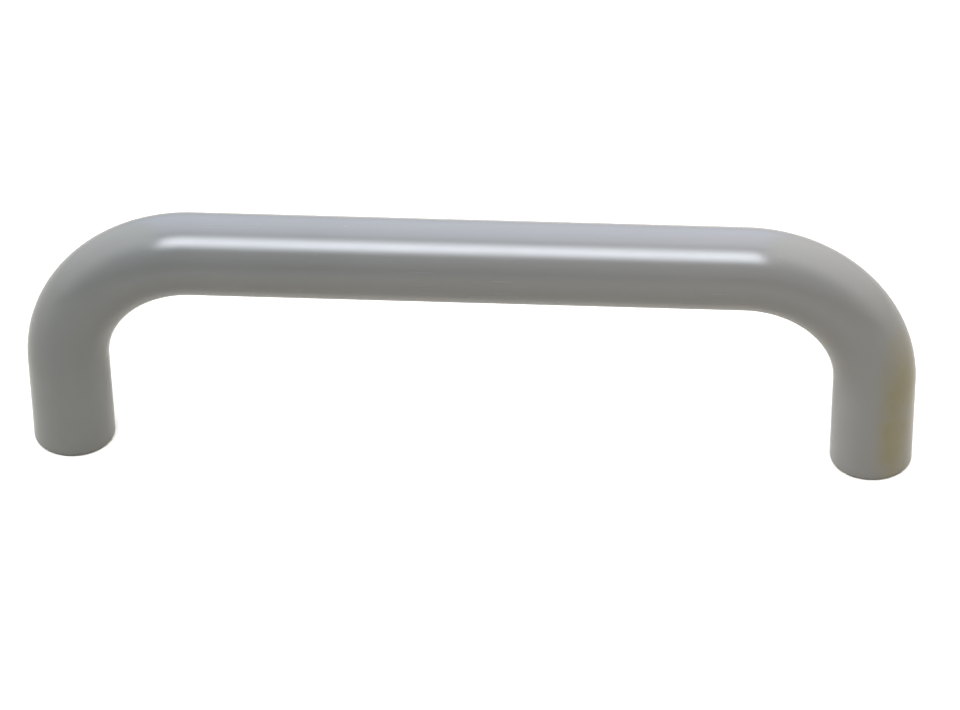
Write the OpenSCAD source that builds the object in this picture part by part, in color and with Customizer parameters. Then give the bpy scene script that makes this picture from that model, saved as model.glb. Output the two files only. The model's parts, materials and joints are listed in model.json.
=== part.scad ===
// Plastic bow handle: one moulded round bar, bent down at both ends into two
// feet. Each foot stands flat on the panel and takes one screw from behind it.
// The origin is on the panel, midway between the two screw holes. +X runs
// along the grip, and +Z points away from the panel.

/* [Bow] */
// Distance between the centres of the two screw holes
hole_spacing = 96; // [64:1:160]
// Diameter of the round bar
bar_d = 9.8; // [8:0.1:14]
// Height of the whole bow above the panel
projection = 32; // [28:0.5:50]
// Bend radius, at the middle of the bar
bend_r = 15.6; // [8:0.1:22]

/* [Feet] */
// Rounding of the rim around each foot
foot_rim_r = 0.4; // [0.1:0.05:1]

/* [Screw holes] */
// Core diameter of the hole, before its thread
hole_d = 3.3; // [2.4:0.1:5]
// Depth of the hole above the foot
hole_depth = 12; // [8:0.5:14]
// Depth of the 45 degree lead-in at the hole's mouth
lead_in = 0.4; // [0.1:0.05:0.5]

/* [Hidden] */
$fn = 96;

bar_r = bar_d / 2;
hole_r = hole_d / 2;
foot_x = hole_spacing / 2;
grip_z = projection - bar_r;
leg_len = grip_z - bend_r;
bend_x = foot_x - bend_r;
mouth_r = hole_r + lead_in;
grey = [0.52, 0.52, 0.50];
// How far a cutter reaches past the face that it opens
cut_past = 0.2;

// What is built at the +X end, and its mirror image at the other end
module both_ends() {
    children();
    mirror([1, 0, 0]) children();
}

// The straight bar that the fingers close around
module grip() {
    translate([0, 0, grip_z])
        rotate([0, 90, 0])
            cylinder(r = bar_r, h = 2 * bend_x, center = true);
}

// The quarter turn from the grip down into the leg
module bend() {
    translate([bend_x, 0, leg_len])
        rotate([90, 0, 0])
            rotate_extrude(angle = 90)
                translate([bend_r, 0])
                    circle(r = bar_r);
}

// Section of the cutter that rounds a foot's rim
module rim_section() {
    translate([bar_r - foot_rim_r, foot_rim_r])
        difference() {
            translate([0, -foot_rim_r - cut_past])
                square([foot_rim_r + cut_past, foot_rim_r + cut_past]);
            circle(r = foot_rim_r);
        }
}

// The straight leg, standing on its flat foot
module leg() {
    translate([foot_x, 0, 0])
        difference() {
            cylinder(r = bar_r, h = leg_len);
            rotate_extrude() rim_section();
        }
}

// Cutter for one blind screw hole with a chamfered mouth
module screw_hole() {
    translate([foot_x, 0, 0]) {
        translate([0, 0, -cut_past])
            cylinder(r = hole_r, h = hole_depth + cut_past);
        translate([0, 0, -cut_past])
            cylinder(r1 = mouth_r + cut_past, r2 = hole_r, h = lead_in + cut_past);
    }
}

module handle() {
    color(grey)
        difference() {
            union() {
                grip();
                both_ends() {
                    bend();
                    leg();
                }
            }
            both_ends() screw_hole();
        }
}

handle();
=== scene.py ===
"""Plastic bow handle, dressed for its portrait: one moulded bar on a pale studio floor."""
import json
import math

import bmesh
import bpy
from bpy.props import FloatProperty, FloatVectorProperty, IntProperty, PointerProperty
from mathutils import Matrix, Vector


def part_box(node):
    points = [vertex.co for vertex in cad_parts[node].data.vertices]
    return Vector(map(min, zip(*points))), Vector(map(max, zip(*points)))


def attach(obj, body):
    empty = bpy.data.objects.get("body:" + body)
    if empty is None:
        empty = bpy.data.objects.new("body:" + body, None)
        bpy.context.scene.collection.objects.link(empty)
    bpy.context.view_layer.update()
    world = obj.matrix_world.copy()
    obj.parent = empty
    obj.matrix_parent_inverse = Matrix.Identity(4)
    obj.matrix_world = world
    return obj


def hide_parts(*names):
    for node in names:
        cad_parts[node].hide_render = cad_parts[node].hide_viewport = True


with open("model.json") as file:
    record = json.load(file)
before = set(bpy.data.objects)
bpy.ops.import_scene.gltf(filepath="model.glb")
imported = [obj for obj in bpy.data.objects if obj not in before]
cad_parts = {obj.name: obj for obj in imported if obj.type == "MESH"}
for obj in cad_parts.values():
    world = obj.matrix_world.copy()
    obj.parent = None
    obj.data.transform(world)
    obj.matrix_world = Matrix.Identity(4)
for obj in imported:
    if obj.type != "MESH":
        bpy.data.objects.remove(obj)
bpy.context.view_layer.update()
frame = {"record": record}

bl_info = {
    "name": "Plastic bow handle",
    "version": (1, 0, 0),
    "blender": (4, 5, 0),
    "location": "3D View > Sidebar > Bow handle",
    "description": "Builds a moulded plastic bow handle and the studio around it",
    "category": "Object",
}

MM = 0.001
IMAGE_WIDTH_PX = 960
SENSOR_WIDTH_MM = 36.0

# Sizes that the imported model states
NODE_LOW, NODE_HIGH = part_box("handle")
SCREW_HOLES = next(m for m in frame["record"]["mounts"] if m["name"] == "screw_holes")
HOLE_SPACING = SCREW_HOLES["dims"]["spacing_x_mm"] * MM
CORE_RADIUS = SCREW_HOLES["dims"]["hole_r_mm"] * MM
BAR_DIAMETER = NODE_HIGH.y - NODE_LOW.y
PROJECTION = NODE_HIGH.z - NODE_LOW.z


def length(name, description, default):
    """A size in metres that a user can change."""
    return FloatProperty(
        name=name, description=description, default=default, min=0.0, precision=5, unit="LENGTH")


def coordinate(name, description, default):
    """A place in metres, on either side of the origin, that a user can change."""
    return FloatProperty(name=name, description=description, default=default, precision=5, unit="LENGTH")


def colour(name, description, default):
    """A linear colour that a user can change."""
    return FloatVectorProperty(
        name=name, description=description, default=default, min=0.0, max=1.0, size=3, subtype="COLOR")


def number(name, description, default):
    """A plain number that a user can change."""
    return FloatProperty(name=name, description=description, default=default, min=0.0, precision=4)


def angle(name, description, degrees):
    """An angle that a user can change."""
    return FloatProperty(name=name, description=description, default=math.radians(degrees), subtype="ANGLE")


class BowSizes(bpy.types.PropertyGroup):
    """Sizes of the moulded bow, its feet and its screw holes"""
    hole_spacing: length("Hole spacing", "Distance between the two screw holes", HOLE_SPACING)
    bar_diameter: length("Bar diameter", "Thickness of the round bar", BAR_DIAMETER)
    projection: length("Projection", "Height of the bow above the panel", PROJECTION)
    bend_radius: length("Bend radius", "Radius of both bends, at the middle of the bar", 15.6 * MM)
    foot_rim: length("Foot rim", "Rounding of the rim around each foot", 0.4 * MM)
    seam_height: length("Seam height", "How far the mould's parting line stands proud", 0.012 * MM)
    core_radius: length("Core radius", "Radius inside the screw thread's crests", CORE_RADIUS)
    thread_depth: length("Thread depth", "Depth of the screw thread", 0.35 * MM)
    thread_pitch: length("Thread pitch", "Rise of the screw thread in one turn", 0.7 * MM)
    hole_depth: length("Hole depth", "Depth of each screw hole", 12.0 * MM)
    lead_in: length("Lead-in", "Depth of the chamfer at each hole's mouth", 0.4 * MM)
    sides: IntProperty(name="Sides", description="Points around the bar", default=120, min=16)
    bend_steps: IntProperty(name="Bend steps", description="Rings in each bend", default=44, min=4)


class PlasticFinish(bpy.types.PropertyGroup):
    """Colours and surface of the moulded plastic"""
    grey: colour("Grey", "Colour of the plastic", (0.159, 0.163, 0.153))
    pale_grey: colour("Pale grey", "Colour where the pigment lies thinner", (0.171, 0.174, 0.165))
    paler: colour("Paler", "Colour towards the faded end", (0.200, 0.194, 0.179))
    lighter_inside: colour("Lighter inside", "Colour on the inside of the faded leg", (0.232, 0.230, 0.219))
    aged: colour("Aged", "Yellowed colour on the outside of the faded leg", (0.198, 0.173, 0.095))
    ior: number("IOR", "Refractive index of the plastic", 1.55)
    gloss_roughness: number("Gloss", "Roughness of the untouched skin", 0.17)
    rub_roughness: number("Rub", "Roughness added by handling", 0.16)
    peel_size: length("Peel size", "Size of the skin's fine waves", 1.3 * MM)


class Studio(bpy.types.PropertyGroup):
    """The pale floor, the lights and the camera"""
    floor: colour("Floor", "Colour of the floor", (0.98, 0.93, 0.86))
    floor_bounce: colour("Floor bounce", "Colour that the floor throws back up", (0.612, 0.573, 0.50))
    front: number("Front", "Brightness of the room in front", 0.01)
    sides: number("Sides", "Brightness of the walls at both sides", 2.38)
    below: number("Below", "Brightness below the floor, for the undersides of the feet", 0.8)
    key: number("Key", "Brightness of the soft light above the grip", 13.4)
    back: number("Back", "Brightness of the cool ceiling behind", 3.05)
    key_tint: colour("Key tint", "Colour of the light above the grip", (0.86, 0.913, 1.0))
    cool_tint: colour("Cool tint", "Colour of the ceiling behind", (0.715, 0.784, 1.0))
    room_tint: colour("Room tint", "Colour of the room in front and at the sides", (1.0, 0.985, 0.95))
    focal_px: number("Focal length", "Focal length in pixels of a picture 960 pixels wide", 4500.0)
    azimuth: angle("Azimuth", "Direction that the camera looks from", 4.139)
    elevation: angle("Elevation", "Height that the camera looks from", 37.09)
    roll: angle("Roll", "Tilt of the camera about its own axis", 0.865)
    distance: length("Distance", "Distance from the camera to its target", 533.8 * MM)
    target_x: coordinate("Target X", "Where the camera looks, along the grip", 1.28 * MM)
    target_z: coordinate("Target Z", "Where the camera looks, above the panel", 13.4 * MM)


class NodeMaker:
    """Adds nodes to one tree. An input is a plain value or another node's output."""

    COLUMN_WIDTH = 190
    ROWS = 6
    ROW_HEIGHT = 260

    def __init__(self, tree):
        self.tree = tree

    def feed(self, socket, value):
        """Links an output to an input, or sets the input to a plain value."""
        if isinstance(value, bpy.types.NodeSocket):
            self.tree.links.new(value, socket)
        else:
            socket.default_value = value

    def add(self, kind, inputs=None, **settings):
        """A new node, with its settings made before its inputs are fed."""
        column, row = divmod(len(self.tree.nodes), self.ROWS)
        node = self.tree.nodes.new(kind)
        node.location = (column * self.COLUMN_WIDTH, -row * self.ROW_HEIGHT)
        for name, value in settings.items():
            setattr(node, name, value)
        for key, value in (inputs or {}).items():
            self.feed(node.inputs[key], value)
        return node

    def out(self, kind, inputs=None, **settings):
        """A node of which only the first output is needed."""
        return self.add(kind, inputs, **settings).outputs[0]

    def math(self, operation, *values):
        """One step of arithmetic."""
        return self.out("ShaderNodeMath", dict(enumerate(values)), operation=operation)

    def vector(self, x=0.0, y=0.0, z=0.0):
        """A vector from its three parts."""
        return self.out("ShaderNodeCombineXYZ", {"X": x, "Y": y, "Z": z})

    def parts(self, vector):
        """The three parts of a vector, X, Y and Z."""
        return self.add("ShaderNodeSeparateXYZ", {"Vector": vector}).outputs

    def ramp(self, value, low, high, to_low=0.0, to_high=1.0, smooth=True):
        """Takes a value from one range to another, held at both ends."""
        kind = "SMOOTHSTEP" if smooth else "LINEAR"
        ends = {"Value": value, "From Min": low, "From Max": high, "To Min": to_low, "To Max": to_high}
        return self.out("ShaderNodeMapRange", ends, interpolation_type=kind, clamp=True)


# Shape of the moulded bow

UNBENT = "unbent"


def corner_path(make, corners):
    """A path straight from corner to corner."""
    line = make.out("GeometryNodeMeshLine", {"Count": len(corners)})
    pick = make.add("GeometryNodeIndexSwitch", data_type="VECTOR")
    while len(pick.index_switch_items) < len(corners):
        pick.index_switch_items.new()
    make.feed(pick.inputs["Index"], make.out("GeometryNodeInputIndex"))
    for i, corner in enumerate(corners):
        make.feed(pick.inputs[i + 1], corner)
    placed = make.out("GeometryNodeSetPosition", {"Geometry": line, "Position": pick.outputs[0]})
    return make.out("GeometryNodeMeshToCurve", {"Mesh": placed})


def store(make, shape, name, value, kind):
    """Keeps a value on each point of a shape under a name."""
    inputs = {"Geometry": shape, "Name": name, "Value": value}
    return make.out("GeometryNodeStoreNamedAttribute", inputs, data_type=kind, domain="POINT")


def recall(make, name, kind):
    """A value that was kept under a name."""
    return make.out("GeometryNodeInputNamedAttribute", {"Name": name}, data_type=kind)


def bar_section(make, sides, radius):
    """The bar's round section, with its points drawn together at the two seams."""
    CROWDING = 0.75
    index = make.out("GeometryNodeInputIndex")
    turn = make.math("MULTIPLY", make.math("DIVIDE", index, sides), math.tau)
    pull = make.math("MULTIPLY", make.math("SINE", make.math("MULTIPLY", turn, 2.0)), -CROWDING / 2)
    around = make.math("ADD", turn, pull)
    place = make.vector(
        make.math("MULTIPLY", radius, make.math("COSINE", around)),
        make.math("MULTIPLY", radius, make.math("SINE", around)))
    ring = make.out(
        "GeometryNodeCurvePrimitiveCircle", {"Resolution": sides, "Radius": radius}, mode="RADIUS")
    placed = make.out("GeometryNodeSetPosition", {"Geometry": ring, "Position": place})
    return store(make, placed, "section", make.out("GeometryNodeInputPosition"), "FLOAT_VECTOR")


def raise_seam(make, sizes, tube):
    """Lifts the mould's parting line along both sides of the tube, and lets it run out above the feet."""
    SEAM_REACH = 0.005 * MM
    RUN_OUT = 0.6 * MM
    off_seam = make.parts(recall(make, "section", "FLOAT_VECTOR"))["Y"]
    on_seam = make.math("LESS_THAN", make.math("ABSOLUTE", off_seam), SEAM_REACH)
    height = make.parts(make.out("GeometryNodeInputPosition"))["Z"]
    off_foot = make.ramp(height, sizes["Foot Rim"], make.math("ADD", sizes["Foot Rim"], RUN_OUT))
    lift = make.math("MULTIPLY", make.math("MULTIPLY", on_seam, off_foot), sizes["Seam Height"])
    push = make.out(
        "ShaderNodeVectorMath", {0: make.out("GeometryNodeInputNormal"), "Scale": lift}, operation="SCALE")
    return make.out("GeometryNodeSetPosition", {"Geometry": tube, "Offset": push})


def bow_tube(make, sizes, section):
    """The section swept up one leg, along the grip and down the other leg."""
    STRAIGHT_CUTS = 14
    HALF_STEP = 0.5
    half = make.math("DIVIDE", sizes["Hole Spacing"], 2.0)
    other = make.math("MULTIPLY", half, -1.0)
    corners = [
        make.vector(other, 0.0, sizes["Foot Rim"]),
        make.vector(other, 0.0, sizes["Grip Height"]),
        make.vector(half, 0.0, sizes["Grip Height"]),
        make.vector(half, 0.0, sizes["Foot Rim"]),
    ]
    bends = {"Count": sizes["Bend Steps"], "Radius": sizes["Bend Radius"]}
    bow = make.out("GeometryNodeFilletCurve", {"Curve": corner_path(make, corners), **bends}, mode="POLY")
    # A straight stretch starts at the first point and after each bend
    index = make.out("GeometryNodeInputIndex")
    since_bend = make.math("MODULO", index, make.math("ADD", sizes["Bend Steps"], 1.0))
    cuts = make.math("MULTIPLY", make.math("LESS_THAN", since_bend, HALF_STEP), STRAIGHT_CUTS)
    fine = make.out("GeometryNodeSubdivideCurve", {"Curve": bow, "Cuts": cuts})
    along = make.add("GeometryNodeSplineParameter").outputs["Length"]
    marked = store(make, fine, "along", along, "FLOAT")
    tube = make.out("GeometryNodeCurveToMesh", {"Curve": marked, "Profile Curve": section})
    # Where each point would be if the bar were straight
    x, y = make.parts(recall(make, "section", "FLOAT_VECTOR"))[:2]
    straight = make.vector(recall(make, "along", "FLOAT"), x, y)
    return store(make, raise_seam(make, sizes, tube), UNBENT, straight, "FLOAT_VECTOR")


def revolve(make, section, corners, rounding=None, cuts=0):
    """A surface of rings, each the bar's section drawn in: corners are (how far in, height)."""
    drawn = [make.vector(make.math("MULTIPLY", inset, -1.0), make.math("MULTIPLY", height, -1.0))
             for inset, height in corners]
    outline = corner_path(make, drawn)
    if rounding:
        outline = make.out("GeometryNodeFilletCurve", {"Curve": outline, **rounding}, mode="POLY")
    outline = make.out("GeometryNodeSubdivideCurve", {"Curve": outline, "Cuts": cuts})
    return make.out("GeometryNodeCurveToMesh", {"Curve": section, "Profile Curve": outline})


def cut_thread(make, sizes, wall):
    """Pushes the hole's wall out along a helix, to the flat-bottomed groove of a screw thread."""
    CREST_SHARE = 0.75
    ROOT_SHARE = 0.125
    RUN_IN_TURNS = 0.5
    RUN_OUT_TURNS = 2.0
    pitch = sizes["Thread Pitch"]
    x, y, z = make.parts(make.out("GeometryNodeInputPosition"))
    turn = make.math("DIVIDE", make.math("ARCTAN2", y, x), math.tau)
    climb = make.math("DIVIDE", z, pitch)
    phase = make.math("FRACT", make.math("SUBTRACT", climb, turn))
    from_groove = make.math("ABSOLUTE", make.math("SUBTRACT", make.math("MULTIPLY", phase, 2.0), 1.0))
    groove = make.ramp(from_groove, ROOT_SHARE, CREST_SHARE, 1.0, 0.0, smooth=False)
    start = make.math("ADD", sizes["Lead In"], make.math("MULTIPLY", pitch, RUN_IN_TURNS))
    stop = make.math("SUBTRACT", sizes["Hole Depth"], make.math("MULTIPLY", pitch, RUN_OUT_TURNS))
    end = make.math("ADD", stop, pitch)
    taper = make.math("MULTIPLY", make.ramp(z, sizes["Lead In"], start), make.ramp(z, stop, end, 1.0, 0.0))
    depth = make.math("MULTIPLY", make.math("MULTIPLY", groove, taper), sizes["Thread Depth"])
    outward = make.out("ShaderNodeVectorMath", {0: make.vector(x, y)}, operation="NORMALIZE")
    push = make.out("ShaderNodeVectorMath", {0: outward, "Scale": depth}, operation="SCALE")
    return make.out("GeometryNodeSetPosition", {"Geometry": wall, "Offset": push})


def foot_with_hole(make, sizes, section):
    """A rounded rim, a flat foot and a blind, threaded screw hole."""
    CENTRE_WELD = 0.1 * MM
    RIM_STEPS = 7
    FOOT_CUTS = 3
    WALL_CUTS = 165
    radius = sizes["Bar Radius"]
    mouth = make.math("ADD", sizes["Core Radius"], sizes["Lead In"])
    to_mouth = make.math("SUBTRACT", radius, mouth)
    to_wall = make.math("SUBTRACT", radius, sizes["Core Radius"])
    rounding = {"Count": RIM_STEPS, "Radius": sizes["Foot Rim"]}
    rim = revolve(
        make, section, [(0.0, sizes["Foot Rim"]), (0.0, 0.0), (to_mouth, 0.0)], rounding, FOOT_CUTS)
    lead = revolve(make, section, [(to_mouth, 0.0), (to_wall, sizes["Lead In"])])
    wall = revolve(
        make, section, [(to_wall, sizes["Lead In"]), (to_wall, sizes["Hole Depth"])], cuts=WALL_CUTS)
    end = revolve(make, section, [(to_wall, sizes["Hole Depth"]), (radius, sizes["Hole Depth"])])
    x, y = make.parts(make.out("GeometryNodeInputPosition"))[:2]
    off_axis = make.math("ADD", make.math("ABSOLUTE", x), make.math("ABSOLUTE", y))
    near_axis = make.math("LESS_THAN", off_axis, CENTRE_WELD)
    end = make.out(
        "GeometryNodeMergeByDistance", {"Geometry": end, "Selection": near_axis, "Distance": CENTRE_WELD})
    join = make.add("GeometryNodeJoinGeometry")
    for piece in (rim, lead, cut_thread(make, sizes, wall), end):
        make.tree.links.new(piece, join.inputs[0])
    return join.outputs[0]


SHAPE_INPUTS = (
    "Hole Spacing", "Bar Radius", "Grip Height", "Bend Radius", "Foot Rim", "Seam Height", "Core Radius",
    "Thread Depth", "Thread Pitch", "Hole Depth", "Lead In")
SHAPE_COUNTS = ("Sides", "Bend Steps")
SHAPE_MATERIALS = ("Skin", "Foot Face")


def bow_shape_tree():
    """The geometry nodes that make the whole handle from its sizes."""
    WELD = 0.002 * MM
    SHARP_ANGLE = math.radians(32)
    tree = bpy.data.node_groups.new("bow_shape", "GeometryNodeTree")
    tree.interface.new_socket("Geometry", in_out="OUTPUT", socket_type="NodeSocketGeometry")
    for kind, names in (
            ("NodeSocketFloat", SHAPE_INPUTS),
            ("NodeSocketInt", SHAPE_COUNTS),
            ("NodeSocketMaterial", SHAPE_MATERIALS)):
        for name in names:
            tree.interface.new_socket(name, in_out="INPUT", socket_type=kind)
    make = NodeMaker(tree)
    sizes = {socket.name: socket for socket in make.add("NodeGroupInput").outputs if socket.name}
    section = bar_section(make, sizes["Sides"], sizes["Bar Radius"])
    tube = bow_tube(make, sizes, section)
    foot = foot_with_hole(make, sizes, section)
    half = make.math("DIVIDE", sizes["Hole Spacing"], 2.0)
    places = corner_path(make, [make.vector(make.math("MULTIPLY", half, -1.0)), make.vector(half)])
    spots = make.out("GeometryNodeCurveToPoints", {"Curve": places}, mode="EVALUATED")
    feet = make.out("GeometryNodeInstanceOnPoints", {"Points": spots, "Instance": foot})
    join = make.add("GeometryNodeJoinGeometry")
    tree.links.new(tube, join.inputs[0])
    tree.links.new(feet, join.inputs[0])
    real = make.out("GeometryNodeRealizeInstances", {"Geometry": join.outputs[0]})
    whole = make.out("GeometryNodeMergeByDistance", {"Geometry": real, "Distance": WELD})
    smooth = make.out("GeometryNodeSetShadeSmooth", {"Geometry": whole, "Shade Smooth": True}, domain="FACE")
    sharp = make.math("GREATER_THAN", make.out("GeometryNodeInputMeshEdgeAngle"), SHARP_ANGLE)
    edges = {"Geometry": smooth, "Selection": sharp, "Shade Smooth": False}
    edged = make.out("GeometryNodeSetShadeSmooth", edges, domain="EDGE")
    skin = make.out("GeometryNodeSetMaterial", {"Geometry": edged, "Material": sizes["Skin"]})
    # The flat of each foot and its hole lie inside the rim and below the hole's end
    x, y, z = make.parts(make.out("GeometryNodeInputPosition"))
    aside = make.math("SUBTRACT", make.math("ABSOLUTE", x), half)
    squares = make.math("ADD", make.math("MULTIPLY", aside, aside), make.math("MULTIPLY", y, y))
    off_axis = make.math("SQRT", squares)
    inside = make.math("LESS_THAN", off_axis, make.math("SUBTRACT", sizes["Bar Radius"], sizes["Foot Rim"]))
    below = make.math("LESS_THAN", z, make.math("ADD", sizes["Hole Depth"], WELD))
    flat = make.math("MULTIPLY", inside, below)
    done = make.out(
        "GeometryNodeSetMaterial", {"Geometry": skin, "Selection": flat, "Material": sizes["Foot Face"]})
    make.add("NodeGroupOutput", {"Geometry": done})
    return tree


def plain_mesh(name, tree, values):
    """An object whose mesh is what a tree makes from the given values."""
    piece = bpy.data.objects.new(name, bpy.data.meshes.new(name))
    bpy.context.scene.collection.objects.link(piece)
    modifier = piece.modifiers.new("shape", "NODES")
    modifier.node_group = tree
    for item in tree.interface.items_tree:
        if item.item_type == "SOCKET" and item.in_out == "INPUT":
            modifier[item.identifier] = values[item.name]
    depsgraph = bpy.context.evaluated_depsgraph_get()
    mesh = bpy.data.meshes.new_from_object(piece.evaluated_get(depsgraph), depsgraph=depsgraph)
    piece.modifiers.remove(modifier)
    blank = piece.data
    piece.data = mesh
    bpy.data.meshes.remove(blank)
    mesh.name = name
    return piece


def check_closed(piece):
    """Stops the script unless the piece is one closed surface that faces outwards."""
    bm = bmesh.new()
    bm.from_mesh(piece.data)
    open_edges = sum(1 for edge in bm.edges if len(edge.link_faces) != 2)
    volume = bm.calc_volume(signed=True)
    bm.free()
    if open_edges or volume <= 0.0:
        raise RuntimeError(f"{piece.name}: {open_edges} open edges, volume {volume}")


# Finish of the plastic

def shader_group(name, inputs, outputs):
    """An empty shader node group with named sockets, and what adds nodes to it."""
    tree = bpy.data.node_groups.new(name, "ShaderNodeTree")
    for socket, kind in inputs.items():
        tree.interface.new_socket(socket, in_out="INPUT", socket_type=kind)
    for socket in outputs:
        tree.interface.new_socket(socket, in_out="OUTPUT", socket_type="NodeSocketFloat")
    make = NodeMaker(tree)
    return make, make.add("NodeGroupInput").outputs


def noise(make, where, scale, detail, roughness):
    """A cloudy value from 0 to 1 over the surface."""
    return make.out(
        "ShaderNodeTexNoise", {"Vector": where, "Scale": scale, "Detail": detail, "Roughness": roughness})


def moulded_skin_group():
    """Waves, pores and thin places of a moulded plastic skin."""
    # How many of each fit across one peel wave
    SWELLS = 0.14
    PORES = 7.0
    HAZES = 0.35
    TONES = 0.09
    # Heights, where a peel wave's is 1
    SWELL_HEIGHT = 3.0
    PORE_HEIGHT = 0.12
    # Noise values between which a patch begins and is full
    HAZE_EDGES = (0.35, 0.75)
    TONE_EDGES = (0.30, 0.70)
    make, inputs = shader_group(
        "moulded_skin",
        {"Vector": "NodeSocketVector", "Peel Size": "NodeSocketFloat"},
        ("Height", "Haze", "Tone"))
    per_peel = make.math("DIVIDE", 1.0, inputs["Peel Size"])

    def layer(count, detail, roughness):
        """A noise with so many of its waves across one peel wave."""
        scale = make.math("MULTIPLY", per_peel, count)
        return noise(make, inputs["Vector"], scale, detail, roughness)

    peel = layer(1.0, detail=2.0, roughness=0.4)
    swell = layer(SWELLS, detail=1.0, roughness=0.4)
    pores = layer(PORES, detail=2.0, roughness=0.6)
    waves = make.math("ADD", peel, make.math("MULTIPLY", swell, SWELL_HEIGHT))
    height = make.math("ADD", waves, make.math("MULTIPLY", pores, PORE_HEIGHT))
    haze = make.ramp(layer(HAZES, detail=4.0, roughness=0.6), *HAZE_EDGES)
    tone = make.ramp(layer(TONES, detail=3.0, roughness=0.55), *TONE_EDGES)
    make.add("NodeGroupOutput", {"Height": height, "Haze": haze, "Tone": tone})
    return make.tree


def hand_rub_group():
    """Hairlines and dull patches left by hands and cloths."""
    # Hairlines run three ways, each 80 times as long as it is wide
    HAIR_TURNS = ((0.0, 0.0, 0.35), (0.0, 0.5, -0.25), (0.3, -0.4, 1.2))
    HAIR_STRETCH = (1.0, 80.0, 80.0)
    # How many of each fit along one hairline
    PATCHES = 0.7
    CLUMPS = 0.9
    # Noise values between which each begins and is full
    HAIR_EDGES = (0.69, 0.74)
    PATCH_EDGES = (0.46, 0.72)
    CLUMP_EDGES = (0.45, 0.62)
    make, inputs = shader_group(
        "hand_rub",
        {"Vector": "NodeSocketVector", "Hair Length": "NodeSocketFloat"},
        ("Hairlines", "Dulling"))
    where = inputs["Vector"]
    per_hair = make.math("DIVIDE", 1.0, inputs["Hair Length"])
    lines = 0.0
    for turn in HAIR_TURNS:
        turned = make.out("ShaderNodeMapping", {"Vector": where, "Rotation": turn, "Scale": HAIR_STRETCH})
        hair = make.ramp(noise(make, turned, per_hair, detail=1.0, roughness=0.3), *HAIR_EDGES)
        lines = make.math("MAXIMUM", lines, hair)
    patch_scale = make.math("MULTIPLY", per_hair, PATCHES)
    dull = make.ramp(noise(make, where, patch_scale, detail=5.0, roughness=0.62), *PATCH_EDGES)
    clump_scale = make.math("MULTIPLY", per_hair, CLUMPS)
    clumped = make.ramp(noise(make, where, clump_scale, detail=2.0, roughness=0.5), *CLUMP_EDGES)
    make.add("NodeGroupOutput", {"Hairlines": make.math("MULTIPLY", lines, clumped), "Dulling": dull})
    return make.tree


def new_material(name):
    """A material with an empty tree, its node maker and its Principled BSDF."""
    material = bpy.data.materials.new(name)
    material.use_nodes = True
    material.node_tree.nodes.clear()
    make = NodeMaker(material.node_tree)
    shader = make.add("ShaderNodeBsdfPrincipled")
    make.add("ShaderNodeOutputMaterial", {"Surface": shader.outputs[0]})
    return material, make, shader


def mix_colours(make, share, first, second):
    """One colour turning into another as a share goes from 0 to 1."""
    mix = make.add("ShaderNodeMix", {"Factor": share}, data_type="RGBA")
    for socket, value in (("A_Color", first), ("B_Color", second)):
        target = next(s for s in mix.inputs if s.identifier == socket)
        make.feed(target, value)
    return next(s for s in mix.outputs if s.identifier == "Result_Color")


def opaque(rgb):
    """A colour with full alpha, as a colour socket takes it."""
    return (*rgb, 1.0)


def span(start, size, shares):
    """Places given as shares of a size, counted from a start."""
    return [start + size * share for share in shares]


def yellowing_and_lighter_places(make, sizes, where, haze):
    """Masks of the plastic's tone: paler towards +X, lighter on the inside of that leg and yellowed with age
    outside it.
    """
    # Shares of the foot's distance from the middle
    PALER_RANGE = (-0.9, 0.6)
    # Shares of the projection
    LEG_TOP = (0.30, 0.50)
    YELLOW_TOP = (0.36, 0.80)
    YELLOW_FOOT = (0.0, 0.20)
    # Shares of the bar's radius, from the leg's axis
    LIGHTER_INSIDE = (-0.95, -0.15)
    YELLOWED = (-0.25, 0.55)
    OUTER_EDGE = (0.45, 1.0)
    FRONT_TO_BACK = (-0.5, 0.9)
    # How yellow the least yellow places are
    EDGE_SHARE = 0.65
    BACK_SHARE = 0.3
    FOOT_SHARE = 0.65
    # How far the yellow varies in patches, and between which values it begins and is full
    PATCHINESS = (0.75, 1.25)
    YELLOW_EDGES = (0.05, 0.95)
    x, y, z = make.parts(where)
    foot_x = sizes.hole_spacing / 2
    bar_r = sizes.bar_diameter / 2
    # Paler towards the +X end
    taper = make.ramp(x, *span(0.0, foot_x, PALER_RANGE), smooth=False)
    low = make.ramp(z, *span(0.0, sizes.projection, LEG_TOP), 1.0, 0.0)
    leg = make.math("MULTIPLY", low, make.math("GREATER_THAN", x, 0.0))
    # Lighter on the inner side of the +X leg, low down
    lighter_inside = make.math("MULTIPLY", make.ramp(x, *span(foot_x, bar_r, LIGHTER_INSIDE), 1.0, 0.0), leg)
    outside = make.ramp(x, *span(foot_x, bar_r, YELLOWED))
    inward = make.ramp(x, *span(foot_x, bar_r, OUTER_EDGE), 1.0, EDGE_SHARE)
    forward = make.ramp(y, *span(0.0, bar_r, FRONT_TO_BACK), 1.0, BACK_SHARE)
    below_bend = make.ramp(z, *span(0.0, sizes.projection, YELLOW_TOP), 1.0, 0.0)
    above_foot = make.ramp(z, *span(0.0, sizes.projection, YELLOW_FOOT), FOOT_SHARE, 1.0)
    patch = make.ramp(haze, 0.0, 1.0, *PATCHINESS, smooth=False)
    for share in (outside, inward, forward, below_bend, above_foot):
        patch = make.math("MULTIPLY", patch, share)
    return taper, lighter_inside, make.ramp(patch, *YELLOW_EDGES)


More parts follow.
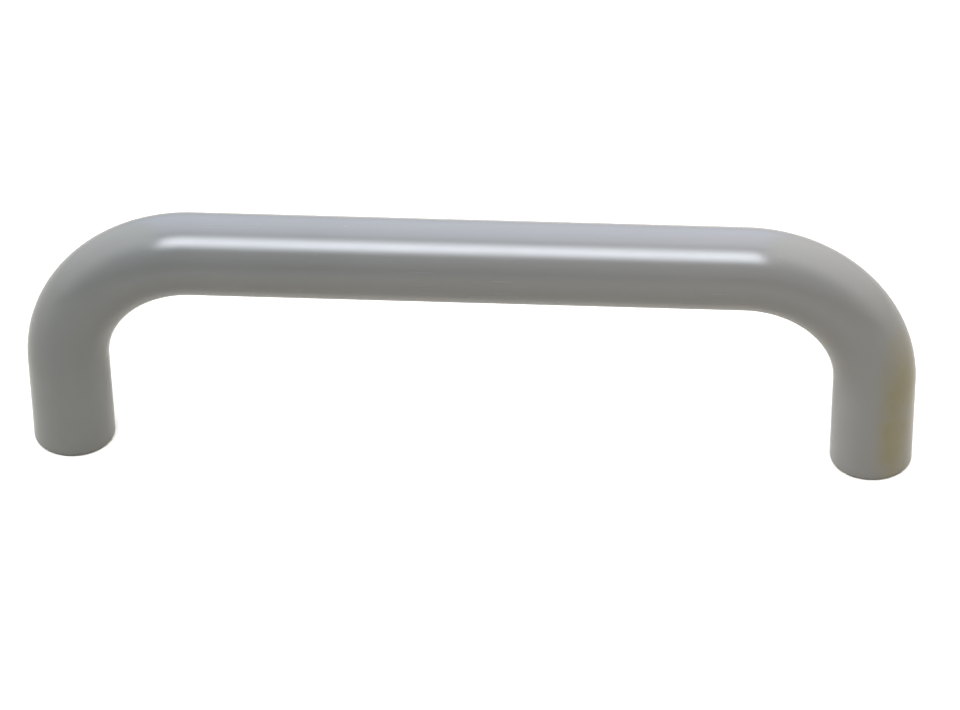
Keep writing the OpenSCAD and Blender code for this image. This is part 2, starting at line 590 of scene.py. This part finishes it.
def gloss_plastic(finish, sizes, skin, rub):
    """The handle's glossy outside: rubbed on the grip, paler towards +X and yellowed outside that leg."""
    PEEL_HEIGHT = 0.0016 * MM
    HAIR_LENGTH = 9.0 * MM
    # Hands touch the grip and the bends, and hardly the legs: shares of the projection
    TOUCHED = (0.35, 0.75)
    LEG_TOUCH = 0.25
    # How much each adds to the roughness, and how deep a hairline is beside a peel wave
    HAZE_SHARE = 0.03
    DULL_SHARE = 0.25
    HAIR_SHARE = 0.5
    HAIR_DEPTH = 0.2
    material, make, shader = new_material("grey_gloss_plastic")
    where = make.add("ShaderNodeTexCoord").outputs["Object"]
    unbent = make.add("ShaderNodeAttribute", attribute_name=UNBENT).outputs["Vector"]
    surface = make.add("ShaderNodeGroup", {"Vector": where, "Peel Size": finish.peel_size}, node_tree=skin)
    worn = make.add("ShaderNodeGroup", {"Vector": unbent, "Hair Length": HAIR_LENGTH}, node_tree=rub)
    up = make.parts(where)["Z"]
    touched = make.ramp(up, *span(0.0, sizes.projection, TOUCHED), LEG_TOUCH, 1.0)
    hairs = make.math("MULTIPLY", worn.outputs["Hairlines"], touched)
    dull = make.math("MULTIPLY", worn.outputs["Dulling"], touched)
    tone = mix_colours(make, surface.outputs["Tone"], opaque(finish.grey), opaque(finish.pale_grey))
    taper, lighter_inside, yellow = yellowing_and_lighter_places(make, sizes, where, surface.outputs["Haze"])
    for share, change in ((taper, finish.paler), (lighter_inside, finish.lighter_inside), (yellow, finish.aged)):
        tone = mix_colours(make, share, tone, opaque(change))
    make.feed(shader.inputs["Base Color"], tone)
    haze = make.math("MULTIPLY", surface.outputs["Haze"], HAZE_SHARE)
    wear = make.math("ADD", make.math("MULTIPLY", dull, DULL_SHARE), make.math("MULTIPLY", hairs, HAIR_SHARE))
    rubbed = make.math("MULTIPLY_ADD", wear, finish.rub_roughness, finish.gloss_roughness)
    make.feed(shader.inputs["Roughness"], make.math("ADD", rubbed, haze))
    scored = make.math("SUBTRACT", surface.outputs["Height"], make.math("MULTIPLY", hairs, HAIR_DEPTH))
    bump = make.out("ShaderNodeBump", {"Height": scored, "Distance": PEEL_HEIGHT, "Strength": 1.0})
    make.feed(shader.inputs["Normal"], bump)
    shader.inputs["IOR"].default_value = finish.ior
    return material


def foot_plastic(finish, skin, rub):
    """The duller plastic of the flat feet and inside the screw holes."""
    PEEL_HEIGHT = 0.004 * MM
    PEEL_SHARE = 0.5
    HAIR_LENGTH = 3.0 * MM
    HAIR_DEPTH = 0.8
    ROUGHNESS = (0.38, 0.55)
    material, make, shader = new_material("grey_foot_plastic")
    where = make.add("ShaderNodeTexCoord").outputs["Object"]
    peel_size = finish.peel_size * PEEL_SHARE
    surface = make.add("ShaderNodeGroup", {"Vector": where, "Peel Size": peel_size}, node_tree=skin)
    worn = make.add("ShaderNodeGroup", {"Vector": where, "Hair Length": HAIR_LENGTH}, node_tree=rub)
    tone = mix_colours(make, surface.outputs["Tone"], opaque(finish.grey), opaque(finish.pale_grey))
    make.feed(shader.inputs["Base Color"], tone)
    make.feed(shader.inputs["Roughness"], make.ramp(worn.outputs["Dulling"], 0.0, 1.0, *ROUGHNESS))
    hairs = make.math("MULTIPLY", worn.outputs["Hairlines"], HAIR_DEPTH)
    scored = make.math("SUBTRACT", surface.outputs["Height"], hairs)
    bump = make.out("ShaderNodeBump", {"Height": scored, "Distance": PEEL_HEIGHT, "Strength": 1.0})
    make.feed(shader.inputs["Normal"], bump)
    shader.inputs["IOR"].default_value = finish.ior
    return material


class OBJECT_OT_moulded_bow(bpy.types.Operator):
    """Build the moulded bow with its feet and screw holes"""
    bl_idname = "bow_handle.moulded_bow"
    bl_label = "Moulded bow"

    def execute(self, context):
        sizes = context.scene.bow_sizes
        finish = context.scene.plastic_finish
        skin = moulded_skin_group()
        rub = hand_rub_group()
        bar_radius = sizes.bar_diameter / 2
        values = {
            "Hole Spacing": sizes.hole_spacing,
            "Bar Radius": bar_radius,
            "Grip Height": sizes.projection - bar_radius,
            "Bend Radius": sizes.bend_radius,
            "Foot Rim": sizes.foot_rim,
            "Seam Height": sizes.seam_height,
            "Core Radius": sizes.core_radius,
            "Thread Depth": sizes.thread_depth,
            "Thread Pitch": sizes.thread_pitch,
            "Hole Depth": sizes.hole_depth,
            "Lead In": sizes.lead_in,
            "Sides": sizes.sides,
            "Bend Steps": sizes.bend_steps,
            "Skin": gloss_plastic(finish, sizes, skin, rub),
            "Foot Face": foot_plastic(finish, skin, rub),
        }
        handle = plain_mesh("moulded_handle", bow_shape_tree(), values)
        check_closed(handle)
        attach(handle, "root")
        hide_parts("handle")
        return {"FINISHED"}


# Studio around the handle

def direction(azimuth, elevation):
    """Unit vector towards a place: azimuth 0 is the front, -Y, and 90 is +X."""
    flat = math.cos(elevation)
    return Vector((math.sin(azimuth) * flat, -math.cos(azimuth) * flat, math.sin(elevation)))


def soft_surroundings(studio):
    """Soft light from all round: a key above the grip, a cool ceiling behind and a dim room in front."""
    PALE = (1.0, 1.0, 1.0, 1.0)
    # Angles from the front horizon, over the zenith, to the horizon behind
    KEY_RISE = (math.radians(44.0), math.radians(67.1))
    KEY_FALL = (math.radians(68.4), math.radians(93.9))
    BACK_RISE = (math.radians(76.5), math.radians(109.5))
    BACK_FALL = (math.radians(125), math.radians(210))
    # Parts of a direction: how far it points to the side, to the back and up
    LEFT_BY = 0.11
    KEY_SIDES = (0.22, 0.31)
    BACK_SIDES = (0.24, 0.38)
    WALL_SIDES = (0.24, 0.40)
    WALL_BACK = (-0.75, 0.0)
    BELOW = (-0.35, -0.10)
    # How far the key's ends hang down, and how bright the walls are at the floor beside overhead
    KEY_DROOP = 0.5
    WALL_FOOT = 0.38
    world = bpy.data.worlds.new("soft_surroundings")
    world.use_nodes = True
    world.node_tree.nodes.clear()
    make = NodeMaker(world.node_tree)
    x, y, z = make.parts(make.add("ShaderNodeTexCoord").outputs["Generated"])
    over = make.math("ARCTAN2", z, make.math("MULTIPLY", y, -1.0))
    aside = make.math("ABSOLUTE", make.math("ADD", x, LEFT_BY))
    bowed = make.math("MULTIPLY_ADD", make.math("MULTIPLY", aside, aside), KEY_DROOP, over)
    key = make.math("MULTIPLY", make.ramp(bowed, *KEY_RISE), make.ramp(bowed, *KEY_FALL, 1.0, 0.0))
    key = make.math("MULTIPLY", key, make.ramp(aside, *KEY_SIDES, studio.key, 0.0))
    back = make.math("MULTIPLY", make.ramp(over, *BACK_RISE), make.ramp(over, *BACK_FALL, 1.0, 0.0))
    back = make.math("MULTIPLY", back, make.ramp(aside, *BACK_SIDES, studio.back, 0.0))
    walls = make.math("MULTIPLY", make.ramp(y, *WALL_BACK), make.ramp(aside, *WALL_SIDES, 0.0, studio.sides))
    walls = make.math("MULTIPLY", walls, make.ramp(z, 0.0, 1.0, WALL_FOOT, 1.0, smooth=False))
    walls = make.math("MULTIPLY", walls, make.math("GREATER_THAN", z, 0.0))
    # Only the undersides of the feet see what is below the floor
    below = make.ramp(z, *BELOW, studio.below, 0.0)
    room = make.math("ADD", make.math("ADD", walls, below), studio.front)
    lit = make.out("ShaderNodeBackground", {"Color": opaque(studio.room_tint), "Strength": room})
    for tint, strength in ((studio.key_tint, key), (studio.cool_tint, back)):
        glow = make.out("ShaderNodeBackground", {"Color": opaque(tint), "Strength": strength})
        lit = make.out("ShaderNodeAddShader", {0: lit, 1: glow})
    seen = make.out("ShaderNodeBackground", {"Color": PALE})
    by_camera = make.add("ShaderNodeLightPath").outputs["Is Camera Ray"]
    shown = make.out("ShaderNodeMixShader", {0: by_camera, 1: lit, 2: seen})
    make.add("ShaderNodeOutputWorld", {"Surface": shown})
    return world


def studio_floor(studio, sizes):
    """A wide pale floor just under the feet, open where they stand. It can't be seen from below."""
    HALF_WIDTH = 1500.0 * MM
    DROP = 0.02 * MM
    # A painted pool of light in the floor's bounce: in front of the handle and beside it, the floor throws
    # back less light
    FRONT = (-200.0 * MM, 0.0)
    FRONT_SHARE = 0.4
    BESIDE = (40.0 * MM, 90.0 * MM)
    BESIDE_SHARE = 0.75
    mesh = bpy.data.meshes.new("studio_floor")
    corners = [(x * HALF_WIDTH, y * HALF_WIDTH, -DROP) for x, y in ((-1, -1), (1, -1), (1, 1), (-1, 1))]
    mesh.from_pydata(corners, [], [(0, 1, 2, 3)])
    material = bpy.data.materials.new("pale_floor")
    material.use_nodes = True
    material.node_tree.nodes.clear()
    make = NodeMaker(material.node_tree)
    x, y = make.parts(make.add("ShaderNodeTexCoord").outputs["Object"])[:2]
    # Painted pool of light: bounced light is brightest round the handle
    beside = make.ramp(make.math("ABSOLUTE", x), *BESIDE, 1.0, BESIDE_SHARE)
    painted_light_pool = make.math("MULTIPLY", make.ramp(y, *FRONT, FRONT_SHARE, 1.0), beside)
    bounce = make.out("ShaderNodeVectorMath", {0: studio.floor_bounce, "Scale": painted_light_pool}, operation="SCALE")
    by_camera = make.add("ShaderNodeLightPath").outputs["Is Camera Ray"]
    tone = mix_colours(make, by_camera, bounce, opaque(studio.floor))
    pale = make.out("ShaderNodeBsdfDiffuse", {"Color": tone})
    clear = make.out("ShaderNodeBsdfTransparent")
    below = make.add("ShaderNodeNewGeometry").outputs["Backfacing"]
    aside = make.math("SUBTRACT", make.math("ABSOLUTE", x), sizes.hole_spacing / 2)
    to_foot = make.add("ShaderNodeVectorMath", {0: make.vector(aside, y)}, operation="LENGTH")
    foot_radius = sizes.bar_diameter / 2 - sizes.foot_rim
    under_foot = make.math("LESS_THAN", to_foot.outputs["Value"], foot_radius)
    shader = make.out("ShaderNodeMixShader", {0: make.math("MAXIMUM", below, under_foot), 1: pale, 2: clear})
    make.add("ShaderNodeOutputMaterial", {"Surface": shader})
    mesh.materials.append(material)
    floor = bpy.data.objects.new("studio_floor", mesh)
    bpy.context.scene.collection.objects.link(floor)
    return floor


def portrait_camera(studio):
    """The camera at the photograph's viewing angle."""
    CLIP_START = 10.0 * MM
    camera = bpy.data.cameras.new("portrait_camera")
    camera.sensor_width = SENSOR_WIDTH_MM
    camera.lens = studio.focal_px * SENSOR_WIDTH_MM / IMAGE_WIDTH_PX
    camera.clip_start = CLIP_START
    back = direction(studio.azimuth, studio.elevation)
    right = Vector((0.0, 0.0, 1.0)).cross(back).normalized()
    up = back.cross(right)
    turn = Matrix.Rotation(-studio.roll, 3, back)
    axes = Matrix((turn @ right, turn @ up, back)).transposed()
    target = Vector((studio.target_x, 0.0, studio.target_z))
    holder = bpy.data.objects.new("portrait_camera", camera)
    holder.matrix_world = Matrix.Translation(target + back * studio.distance) @ axes.to_4x4()
    bpy.context.scene.collection.objects.link(holder)
    bpy.context.scene.camera = holder


class OBJECT_OT_studio(bpy.types.Operator):
    """Build the pale floor, the soft lights and the camera"""
    bl_idname = "bow_handle.studio"
    bl_label = "Studio"

    def execute(self, context):
        studio = context.scene.studio
        scene = context.scene
        studio_floor(studio, scene.bow_sizes)
        scene.world = soft_surroundings(studio)
        scene.view_settings.view_transform = "Standard"
        portrait_camera(studio)
        return {"FINISHED"}


class VIEW3D_PT_bow_handle(bpy.types.Panel):
    """Sizes, finish and studio of the bow handle"""
    bl_label = "Bow handle"
    bl_idname = "VIEW3D_PT_bow_handle"
    bl_space_type = "VIEW_3D"
    bl_region_type = "UI"
    bl_category = "Bow handle"

    def draw(self, context):
        for group in (context.scene.bow_sizes, context.scene.plastic_finish, context.scene.studio):
            box = self.layout.box()
            for name in group.__annotations__:
                box.prop(group, name)
        for operator in (OBJECT_OT_moulded_bow, OBJECT_OT_studio):
            self.layout.operator(operator.bl_idname)


CLASSES = (BowSizes, PlasticFinish, Studio, OBJECT_OT_moulded_bow, OBJECT_OT_studio, VIEW3D_PT_bow_handle)


def register():
    for cls in CLASSES:
        bpy.utils.register_class(cls)
    bpy.types.Scene.bow_sizes = PointerProperty(type=BowSizes)
    bpy.types.Scene.plastic_finish = PointerProperty(type=PlasticFinish)
    bpy.types.Scene.studio = PointerProperty(type=Studio)


def unregister():
    del bpy.types.Scene.studio
    del bpy.types.Scene.plastic_finish
    del bpy.types.Scene.bow_sizes
    for cls in reversed(CLASSES):
        bpy.utils.unregister_class(cls)


def main():
    register()
    bpy.ops.bow_handle.moulded_bow()
    bpy.ops.bow_handle.studio()


if __name__ == "__main__":
    main()
